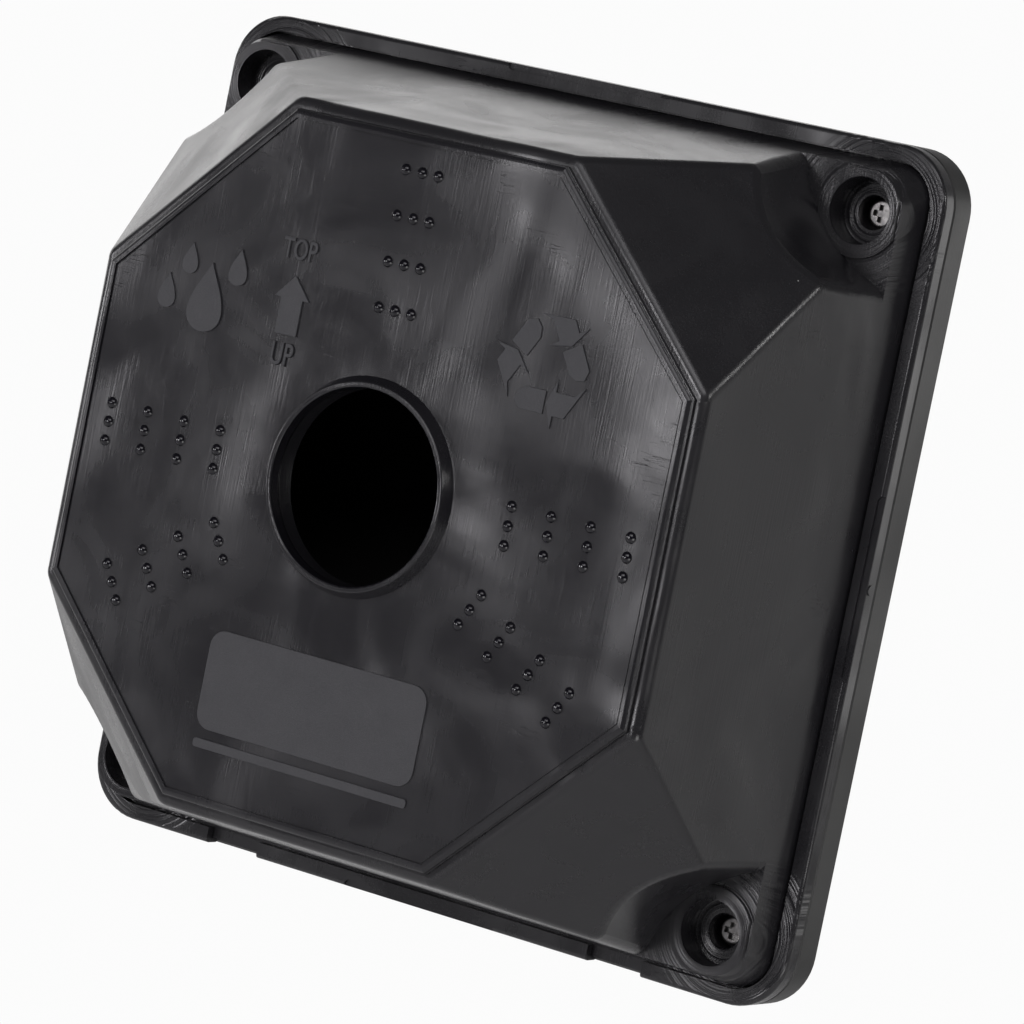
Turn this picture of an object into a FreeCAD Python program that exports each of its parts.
import FreeCAD, Part
import math
import os

# Square surface-mount junction box: a moulded cover on a flat back plate.
#
# Every piece is drawn lying on its back (x to the right, y up the wall, z out from
# the wall) and is stood up as the last step, so that in the finished model
# +Z is up the wall, +X is right and the front of the box faces -Y.
# The origin is the middle of the back face, where the box meets the wall.

Vec = FreeCAD.Vector
OUTWARD = Vec(0, 0, 1)
OVER = 1.0                   # how far a cutter runs past the surface it opens

# ---- driving dimensions, millimetres -------------------------------------------
BOX_HALF = 65.0              # half the outside width and height
RIM_CORNER_R = 9.0           # rounded corner of the rim
SEAM_Z = 5.2                 # where the cover sits on the back plate
LIP_TOP_Z = 8.3              # front of the raised lip round the cover's rim
LIP_W = 2.5
CREASE_Z = 6.7               # bottom of the narrow channel inside the lip
SEAM_BEVEL = 0.35

WALL_FOOT_HALF = 62.55       # side walls of the cover where they meet the seam level
WALL_TOP_HALF = 54.0         # the same walls, run up to the shoulder
SHOULDER_Z = 46.1            # top of the body, round the octagon panel
WALL_CORNER_R = 5.6
SHELL_T = 2.5                # wall thickness of the cover
BODY_RIDGE_R = 2.3           # soft edges round the facets and pocket walls
SHOULDER_R = 1.6
LIP_EDGE_R = 0.7

PANEL_HALF = 52.4            # octagon panel: centre to a straight side
PANEL_SIDE_HALF = 24.1       # half the length of that straight side
PANEL_Z = 47.1               # face of the panel
BEAD_W = 1.35                # rounded bead round the panel's edge
BEAD_H = 0.2
BEAD_GROOVE_W = 0.3
BEAD_GROOVE_D = 0.15
BEAD_EDGE_R = 0.95           # its outer edge rolls down to the ledge

FACET_OUT = 1.4              # ledge between the panel and a corner facet
FACET_RUN = 0.84             # how far a facet leans out for each mm it drops
FACET_WALL = 1.4             # the shell is thicker behind a facet by this factor
FACET_CUT_W = 140.0          # size of the wedge that cuts a facet
FACET_CUT_OUT = 80.0
FACET_CUT_UP = 12.0

POCKET_FLOOR_Z = 13.5        # seat round each cover screw
POCKET_R = 25.0              # hollow wall behind the seat
POCKET_CENTRE = 67.6         # its axis, on the diagonal (x and y)
POCKET_DRAFT = 0.07          # growth of its radius for each mm of height
SCREW_AT = 54.3              # cover screws, on the diagonals (x and y)
BOSS_R = 7.0
BOSS_H = 0.5
BOSS_MARGIN = 0.3            # the boss stops this far inside the outer wall
COUNTERBORE_R = 5.0
COUNTERBORE_FLOOR_Z = 9.6
HEAD_HOLE_R = 2.6
SCREW_SEAT_Z = 5.4
SHANK_HOLE_R = 1.65
COLUMN_R = 6.2               # post under each seat, inside the cover
COLUMN_FOOT_Z = 3.9

HOLE_R = 14.65               # cable hole in the middle of the panel
COLLAR_FOOT_R = 16.45        # raised collar round the hole, with a leaning flank
COLLAR_TOP_R = 15.5
COLLAR_TOP_Z = 48.95
COLLAR_EDGE_R = 0.3

PIP_BALL_R = 0.975           # round-topped pips that mark drilling places
PIP_H = 0.6                  # how far a pip stands above the panel
PIP_FIRST = 26.4             # from the middle of the panel to the first row
PIP_STEP = 6.85              # between rows
PIP_PITCH = 2.9              # between the three pips of one row
PIP_ROWS = 4
PIP_DIRECTIONS = (0, 90, 180, 210, 330)

BEAD_GAP_HALF = 14.0         # middle of each side, where the lip is lower outside
BEAD_GAP_W = 1.1
BEAD_GAP_D = 0.45
GATE_R = 0.8                 # stub left where the moulding gate was cut off
GATE_OUT = 0.2
GATE_ROOT = 0.3
GATE_DOWN = 1.4
DRAIN_AT = 36.0              # drain notches in the bottom rim, from the middle
DRAIN_W = 9.8
DRAIN_D = 0.7
DRAIN_FLOOR_Z = 6.9

PLATE_T = 2.6                # floor of the back plate
FRAME_W = 8.0                # raised frame of the back plate
TRAY_CORNER_R = 3.0
GASKET_HALF = 63.2           # gasket: outside half width
GASKET_W = 1.7
GASKET_T = 1.4
GASKET_CORNER_R = 6.8
GASKET_CLEAR = 0.1
PLATE_BOSS_R = 6.4
PLATE_BOSS_TOP_Z = 3.8
PLATE_BORE_R = 1.65
PLATE_BORE_FLOOR_Z = 0.6
COLUMN_CLEAR = 0.3
REAR_HOLE_R = 12.0
WALL_HOLE_AT = 38.0          # holes for the wall screws (x and y)
WALL_HOLE_R = 2.3
WALL_PAD_R = 5.5
WALL_PAD_H = 1.4

REAR_RECESS_R = 14.5
REAR_RECESS_D = 1.0
GROMMET_FLANGE_R = 14.2
GROMMET_FLANGE_T = 1.4
GROMMET_WAIST_R = 11.85
GROMMET_CONE_FOOT_R = 10.0
GROMMET_CONE_TOP_R = 6.4
GROMMET_BORE_R = 4.6
GROMMET_TOP_Z = 13.0
GROMMET_EDGE_R = 0.4
GROMMET_CLEAR = 0.1

SCREW_HEAD_R = 2.25
SCREW_HEAD_H = 1.5
SCREW_HEAD_EDGE_R = 0.6
SCREW_SHANK_R = 1.3
SCREW_CORE_R = 1.0
SCREW_TIP_Z = 1.0
THREAD_PITCH = 0.7
THREAD_TOP_Z = 4.4
RECESS_LEN = 1.3
RECESS_W = 0.45
RECESS_D = 0.8
SEAL_R = 2.2
SEAL_INNER_R = 1.42
SEAL_T = 0.5

CORNERS = {"top_left": (-1, 1), "top_right": (1, 1),
           "bottom_left": (-1, -1), "bottom_right": (1, -1)}


# ---- outline helpers ------------------------------------------------------------
def rounded_square(half, corner, z):
    """Wire of a square with rounded corners, at height z."""
    flat = half - corner
    mid = corner * math.sqrt(0.5)
    edges = []
    for turn in range(4):
        spin = FreeCAD.Rotation(OUTWARD, 90 * turn)

        def at(x, y):
            return spin.multVec(Vec(x, y, 0)) + Vec(0, 0, z)

        edges.append(Part.makeLine(at(half, -flat), at(half, flat)))
        edges.append(Part.Arc(at(half, flat), at(flat + mid, flat + mid), at(flat, half)).toShape())
    return Part.Wire(edges)


def square_block(half, corner, z_low, z_high):
    face = Part.Face(rounded_square(half, corner, z_low))
    return face.extrude(Vec(0, 0, z_high - z_low))


def octagon_block(half, side_half, z_low, z_high):
    """Prism on an eight-sided outline with long diagonal sides."""
    points = []
    for turn in range(4):
        spin = FreeCAD.Rotation(OUTWARD, 90 * turn)
        for y in (-side_half, side_half):
            points.append(spin.multVec(Vec(half, y, 0)) + Vec(0, 0, z_low))
    face = Part.Face(Part.makePolygon(points + points[:1]))
    return face.extrude(Vec(0, 0, z_high - z_low))


def octagon_inset(amount, z_low, z_high):
    """The panel's octagon moved in by an amount on all eight sides."""
    half = PANEL_HALF - amount
    side_half = PANEL_SIDE_HALF - amount * (math.sqrt(2) - 1)
    return octagon_block(half, side_half, z_low, z_high)


def post(radius, x, y, z_low, z_high):
    return Part.makeCylinder(radius, z_high - z_low, Vec(x, y, z_low))


def on_corners(distance):
    return [(sx * distance, sy * distance) for sx, sy in CORNERS.values()]


def wall_half(z):
    """Half width of the cover's body at height z."""
    slope = (WALL_FOOT_HALF - WALL_TOP_HALF) / (SHOULDER_Z - SEAM_Z)
    return WALL_FOOT_HALF - slope * (z - SEAM_Z)


# ---- cover body: four leaning walls, four corner facets, four screw pockets -------
def leaning_block(inset, z_low, z_high):
    """Tapered square body with rounded corners, moved in by an amount."""
    low = wall_half(z_low) - inset
    high = wall_half(z_high) - inset
    block = Part.makeWedge(-low, z_low, -low, -high, -high, low, z_high, low, high, high)
    block.rotate(Vec(), Vec(1, 0, 0), 90)
    corner_edges = [edge for edge in block.Edges if abs(edge.tangentAt(0).z) > 0.5]
    return block.makeFillet(WALL_CORNER_R - inset, corner_edges)


def facet_cutter(turn, inset):
    """Wedge that takes off everything outside one corner facet."""
    reach = (PANEL_HALF + PANEL_SIDE_HALF) / math.sqrt(2) + FACET_OUT - inset
    top = SHOULDER_Z + FACET_CUT_UP
    profile = [Vec(reach + FACET_RUN * SHOULDER_Z, 0, 0),
               Vec(reach + FACET_CUT_OUT, 0, 0),
               Vec(reach + FACET_CUT_OUT, 0, top),
               Vec(reach - FACET_RUN * FACET_CUT_UP, 0, top)]
    face = Part.Face(Part.makePolygon(profile + profile[:1]))
    wedge = face.extrude(Vec(0, FACET_CUT_W, 0))
    wedge.translate(Vec(0, -FACET_CUT_W / 2, 0))
    wedge.rotate(Vec(), OUTWARD, 45 + 90 * turn)
    return wedge


def pocket_cutter(sx, sy, floor_z, grow):
    """Cone that hollows one corner above its screw seat."""
    height = SHOULDER_Z + OVER - floor_z
    low_r = POCKET_R + grow + POCKET_DRAFT * (floor_z - POCKET_FLOOR_Z)
    high_r = low_r + POCKET_DRAFT * height
    return Part.makeCone(low_r, high_r, height, Vec(sx * POCKET_CENTRE, sy * POCKET_CENTRE, floor_z))


def body_form(inset, z_low):
    """Outer form of the body, or its hollow when moved in by the wall thickness."""
    top = SHOULDER_Z - inset
    form = leaning_block(inset, z_low, top)
    for turn in range(4):
        form = form.cut(facet_cutter(turn, inset * FACET_WALL))
    for sx, sy in CORNERS.values():
        form = form.cut(pocket_cutter(sx, sy, POCKET_FLOOR_Z - inset, inset))
    return form


# ---- fillets --------------------------------------------------------------------
def ends_and_middle(edge):
    first, last = edge.FirstParameter, edge.LastParameter
    return edge.valueAt(first), edge.valueAt((first + last) / 2), edge.valueAt(last)


def soften(shape, radius, test):
    """Fillet every edge whose two ends and middle point pass a test."""
    chosen = [edge for edge in shape.Edges if test(*ends_and_middle(edge))]
    return shape.makeFillet(radius, chosen)


def level(z, tolerance=0.01):
    """Test for edges that lie flat at height z."""
    return lambda a, m, b: max(abs(p.z - z) for p in (a, m, b)) < tolerance


def is_body_ridge(a, m, b):
    """The steep edges of the facets and pocket walls, and the edge where they meet."""
    steep = abs(a.z - b.z) > 10
    reach = math.hypot(abs(m.x) - POCKET_CENTRE, abs(m.y) - POCKET_CENTRE)
    wall_r = POCKET_R + POCKET_DRAFT * (m.z - POCKET_FLOOR_Z)
    pocket_top = 24 < m.z < 40 and abs(reach - wall_r) < 0.2
    return steep or pocket_top


# ---- front cover ------------------------------------------------------------------
def cover_body():
    body = body_form(0.0, CREASE_Z)
    body = soften(body, BODY_RIDGE_R, is_body_ridge)
    return soften(body, SHOULDER_R, level(SHOULDER_Z))


def cover_rim():
    """Flange with a raised lip, parted from the body by a narrow channel."""
    rim = square_block(BOX_HALF, RIM_CORNER_R, SEAM_Z, LIP_TOP_Z)
    rim = soften(rim, LIP_EDGE_R, level(LIP_TOP_Z))
    rim = rim.makeChamfer(SEAM_BEVEL, [e for e in rim.Edges if level(SEAM_Z)(*ends_and_middle(e))])
    inside = square_block(BOX_HALF - LIP_W, RIM_CORNER_R - LIP_W, CREASE_Z, LIP_TOP_Z + OVER)
    rim = rim.cut(inside)
    for turn in range(4):
        gap = Part.makeBox(BEAD_GAP_W + OVER, 2 * BEAD_GAP_HALF, BEAD_GAP_D + OVER,
                           Vec(BOX_HALF - BEAD_GAP_W, -BEAD_GAP_HALF, LIP_TOP_Z - BEAD_GAP_D))
        ends = [edge for edge in gap.Edges if abs(edge.tangentAt(0).z) > 0.9]
        gap = gap.makeFillet(BEAD_GAP_W * 0.8, [edge for edge in ends if edge.BoundBox.XMax < BOX_HALF])
        gap.rotate(Vec(), OUTWARD, 90 * turn)
        rim = rim.cut(gap)
    for x in (-DRAIN_AT, DRAIN_AT):
        corner = Vec(x - DRAIN_W / 2, -BOX_HALF - OVER, DRAIN_FLOOR_Z)
        notch = Part.makeBox(DRAIN_W, LIP_W + OVER, LIP_TOP_Z, corner)
        corner.z = SEAM_Z - OVER
        side = Part.makeBox(DRAIN_W, DRAIN_D + OVER, LIP_TOP_Z, corner)
        rim = rim.cut(notch).cut(side)
    gate_foot = Vec(BOX_HALF - GATE_ROOT, 0, LIP_TOP_Z - GATE_DOWN)
    gate = Part.makeCylinder(GATE_R, GATE_ROOT + GATE_OUT, gate_foot, Vec(1, 0, 0))
    return rim.fuse(gate)


def octagon_panel():
    """Raised octagon with a bead round its edge and a fine groove inside the bead."""
    panel = octagon_inset(0, SHOULDER_Z - OVER, PANEL_Z + BEAD_H)
    panel = soften(panel, BEAD_EDGE_R, level(PANEL_Z + BEAD_H))
    panel = panel.cut(octagon_inset(BEAD_W, PANEL_Z, PANEL_Z + OVER))
    groove = octagon_inset(BEAD_W, PANEL_Z - BEAD_GROOVE_D, PANEL_Z + OVER)
    groove = groove.cut(octagon_inset(BEAD_W + BEAD_GROOVE_W, PANEL_Z - OVER, PANEL_Z + OVER))
    return panel.cut(groove)


def cable_collar():
    """Ring with a leaning flank; both edges of its top are rounded, and the hole goes through."""
    height = COLLAR_TOP_Z - PANEL_Z
    lean = (COLLAR_FOOT_R - COLLAR_TOP_R) / height
    collar = Part.makeCone(COLLAR_FOOT_R + lean * OVER, COLLAR_TOP_R, height + OVER,
                           Vec(0, 0, PANEL_Z - OVER))
    collar = collar.cut(post(HOLE_R, 0, 0, SHOULDER_Z - OVER, COLLAR_TOP_Z + OVER))
    return soften(collar, COLLAR_EDGE_R, level(COLLAR_TOP_Z))


def drilling_pips():
    """Round-topped pips in five rows of threes that run out from the middle."""
    centre_z = PANEL_Z + PIP_H - PIP_BALL_R
    pips = []
    for direction in PIP_DIRECTIONS:
        spin = FreeCAD.Rotation(OUTWARD, direction)
        for row in range(PIP_ROWS):
            for side in (-1, 0, 1):
                spot = Vec(PIP_FIRST + PIP_STEP * row, side * PIP_PITCH, centre_z)
                pips.append(Part.makeSphere(PIP_BALL_R, spin.multVec(spot)))
    return pips


def screw_column(x, y):
    """Post that carries a screw down through the hollow cover."""
    column = post(COLUMN_R, x, y, COLUMN_FOOT_Z, POCKET_FLOOR_Z)
    low, high = POCKET_FLOOR_Z - OVER, POCKET_FLOOR_Z + BOSS_H
    boss = post(BOSS_R, x, y, low, high)
    boss = boss.common(leaning_block(BOSS_MARGIN, low, high))
    return column.fuse(boss)


def screw_path(x, y):
    """Counterbore, head hole and shank hole of one cover screw."""
    bores = post(COUNTERBORE_R, x, y, COUNTERBORE_FLOOR_Z, SHOULDER_Z)
    bores = bores.fuse(post(HEAD_HOLE_R, x, y, SCREW_SEAT_Z, COUNTERBORE_FLOOR_Z))
    return bores.fuse(post(SHANK_HOLE_R, x, y, COLUMN_FOOT_Z - OVER, SCREW_SEAT_Z))


def front_cover():
    cover = cover_rim().fuse(cover_body()).fuse(octagon_panel())
    cover = cover.cut(body_form(SHELL_T, SEAM_Z - OVER))
    cover = cover.cut(post(HOLE_R, 0, 0, SHOULDER_Z - SHELL_T - OVER, COLLAR_TOP_Z))
    cover = cover.fuse(cable_collar())
    for x, y in on_corners(SCREW_AT):
        cover = cover.fuse(screw_column(x, y))
        cover = cover.cut(screw_path(x, y))
    return cover.fuse(drilling_pips()).removeSplitter()


# ---- back plate, gasket and grommet -------------------------------------------------
def back_plate():
    plate = square_block(BOX_HALF, RIM_CORNER_R, 0, SEAM_Z)
    flat_edges = [e for e in plate.Edges if level(SEAM_Z)(*ends_and_middle(e))]
    plate = plate.makeChamfer(SEAM_BEVEL, flat_edges)
    tray_half = BOX_HALF - FRAME_W
    plate = plate.cut(square_block(tray_half, TRAY_CORNER_R, PLATE_T, SEAM_Z + OVER))
    channel = square_block(GASKET_HALF + GASKET_CLEAR, GASKET_CORNER_R + GASKET_CLEAR,
                           SEAM_Z - GASKET_T - GASKET_CLEAR, SEAM_Z + OVER)
    core = square_block(GASKET_HALF - GASKET_W - GASKET_CLEAR,
                        GASKET_CORNER_R - GASKET_W - GASKET_CLEAR, 0, SEAM_Z + 2 * OVER)
    plate = plate.cut(channel.cut(core))
    for x, y in on_corners(SCREW_AT):
        plate = plate.fuse(post(PLATE_BOSS_R, x, y, PLATE_T - OVER, PLATE_BOSS_TOP_Z))
        plate = plate.cut(post(COLUMN_R + COLUMN_CLEAR, x, y, PLATE_BOSS_TOP_Z, SEAM_Z + OVER))
        plate = plate.cut(post(PLATE_BORE_R, x, y, PLATE_BORE_FLOOR_Z, SEAM_Z))
    for x, y in on_corners(WALL_HOLE_AT):
        plate = plate.fuse(post(WALL_PAD_R, x, y, PLATE_T - OVER, PLATE_T + WALL_PAD_H))
        plate = plate.cut(post(WALL_HOLE_R, x, y, -OVER, SEAM_Z + OVER))
    plate = plate.cut(post(REAR_HOLE_R, 0, 0, -OVER, SEAM_Z))
    plate = plate.cut(post(REAR_RECESS_R, 0, 0, -OVER, REAR_RECESS_D))
    return plate.removeSplitter()


def perimeter_gasket():
    bottom = SEAM_Z - GASKET_T
    ring = square_block(GASKET_HALF, GASKET_CORNER_R, bottom, SEAM_Z)
    middle = square_block(GASKET_HALF - GASKET_W, GASKET_CORNER_R - GASKET_W,
                          bottom - OVER, SEAM_Z + OVER)
    return ring.cut(middle)


def rear_cable_grommet():
    """Rubber grommet: an outer lip, a waist in the plate and a stepped nipple inside."""
    inner_low = PLATE_T + GROMMET_CLEAR
    inner_high = inner_low + GROMMET_FLANGE_T
    outline = [(GROMMET_BORE_R, GROMMET_CLEAR),
               (GROMMET_FLANGE_R, GROMMET_CLEAR),
               (GROMMET_FLANGE_R, REAR_RECESS_D - GROMMET_CLEAR),
               (GROMMET_WAIST_R, REAR_RECESS_D - GROMMET_CLEAR),
               (GROMMET_WAIST_R, inner_low),
               (GROMMET_FLANGE_R, inner_low),
               (GROMMET_FLANGE_R, inner_high),
               (GROMMET_CONE_FOOT_R, inner_high),
               (GROMMET_CONE_TOP_R, GROMMET_TOP_Z),
               (GROMMET_BORE_R, GROMMET_TOP_Z)]
    points = [Vec(r, 0, z) for r, z in outline]
    face = Part.Face(Part.makePolygon(points + points[:1]))
    grommet = face.revolve(Vec(), OUTWARD, 360)
    return soften(grommet, GROMMET_EDGE_R, level(inner_high))


# ---- cover screws and their seals ---------------------------------------------------
def cover_screw(x, y):
    """Pan-head screw with a cross recess; the thread is a stack of ridges."""
    head_low = SCREW_SEAT_Z + SEAL_T
    head_high = head_low + SCREW_HEAD_H
    outline = [Vec(0, 0, SCREW_TIP_Z), Vec(SCREW_CORE_R, 0, SCREW_TIP_Z)]
    turns = int((THREAD_TOP_Z - SCREW_TIP_Z) / THREAD_PITCH)
    for turn in range(turns):
        z = SCREW_TIP_Z + turn * THREAD_PITCH
        outline.append(Vec(SCREW_SHANK_R, 0, z + THREAD_PITCH * 0.5))
        outline.append(Vec(SCREW_CORE_R, 0, z + THREAD_PITCH))
    outline += [Vec(SCREW_CORE_R, 0, head_low), Vec(SCREW_HEAD_R, 0, head_low),
                Vec(SCREW_HEAD_R, 0, head_high), Vec(0, 0, head_high)]
    face = Part.Face(Part.makePolygon(outline + outline[:1]))
    screw = face.revolve(Vec(), OUTWARD, 360)
    screw = soften(screw, SCREW_HEAD_EDGE_R, level(head_high))
    for size in ((RECESS_LEN, RECESS_W), (RECESS_W, RECESS_LEN)):
        corner = Vec(-size[0], -size[1], head_high - RECESS_D)
        screw = screw.cut(Part.makeBox(2 * size[0], 2 * size[1], RECESS_D + OVER, corner))
    screw.translate(Vec(x, y, 0))
    return screw


def screw_seal(x, y):
    """Small rubber ring under the head; it grips the shank and keeps the screw captive."""
    ring = post(SEAL_R, x, y, SCREW_SEAT_Z, SCREW_SEAT_Z + SEAL_T)
    return ring.cut(post(SEAL_INNER_R, x, y, SCREW_SEAT_Z - OVER, SCREW_SEAT_Z + SEAL_T + OVER))


# ---- stand the box up and write it out ------------------------------------------------
def write_node(name, shape):
    shape.rotate(Vec(), Vec(1, 0, 0), 90)
    state = "valid" if shape.isValid() else "NOT VALID"
    print(name, state, len(shape.Solids), "solid", round(shape.Volume))
    shape.exportStep("parts/" + name + ".step")


os.makedirs("parts", exist_ok=True)
write_node("front_cover", front_cover())
write_node("back_plate", back_plate())
write_node("perimeter_gasket", perimeter_gasket())
write_node("rear_cable_grommet", rear_cable_grommet())
for corner, (sx, sy) in CORNERS.items():
    write_node("cover_screw_" + corner, cover_screw(sx * SCREW_AT, sy * SCREW_AT))
    write_node("screw_seal_" + corner, screw_seal(sx * SCREW_AT, sy * SCREW_AT))
